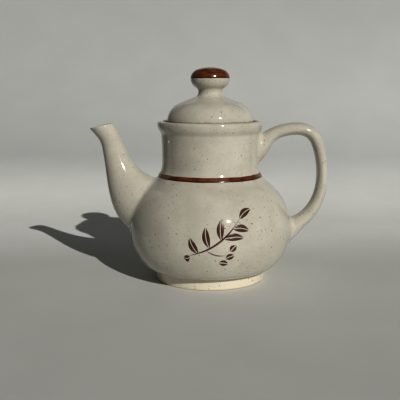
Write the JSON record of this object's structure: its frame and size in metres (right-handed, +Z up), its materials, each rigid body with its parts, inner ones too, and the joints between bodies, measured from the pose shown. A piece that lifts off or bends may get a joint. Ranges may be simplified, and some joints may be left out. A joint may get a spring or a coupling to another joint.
{
  "type": "coffee pot",
  "caption": "Round-bellied stoneware coffee pot with a swan spout, a loop handle, a flared collar neck and a lift-off domed lid with a knob.",
  "frame": {"origin": "centre of the foot's underside, on the surface that the pot stands on", "axes": "+Z up along the pot's turning axis, spout towards -X, handle towards +X, printed front towards -Y"},
  "size_m": [0.2158, 0.1482, 0.1906],
  "materials": {
    "cream_glaze": "glossy cream stoneware glaze with fine brown specks",
    "brown_glaze": "glossy red-brown glaze",
    "brown_print": "dark brown transfer print under clear glaze"
  },
  "bodies": {
    "pot": {"foot_ring": "cream_glaze", "belly": "cream_glaze", "neck": "cream_glaze", "neck_band": "brown_glaze", "spout": "cream_glaze", "handle": "cream_glaze", "motif": "brown_print"},
    "lid": {"lid_dome": "cream_glaze", "lid_flange": "cream_glaze", "lid_knob": "cream_glaze", "knob_cap": "brown_glaze"}
  },
  "joints": [
    {"name": "lid_lift", "type": "slide", "parent": "pot", "child": "lid", "axis": [0, 0, 1], "range_m": [0, 0.06]}
  ]
}
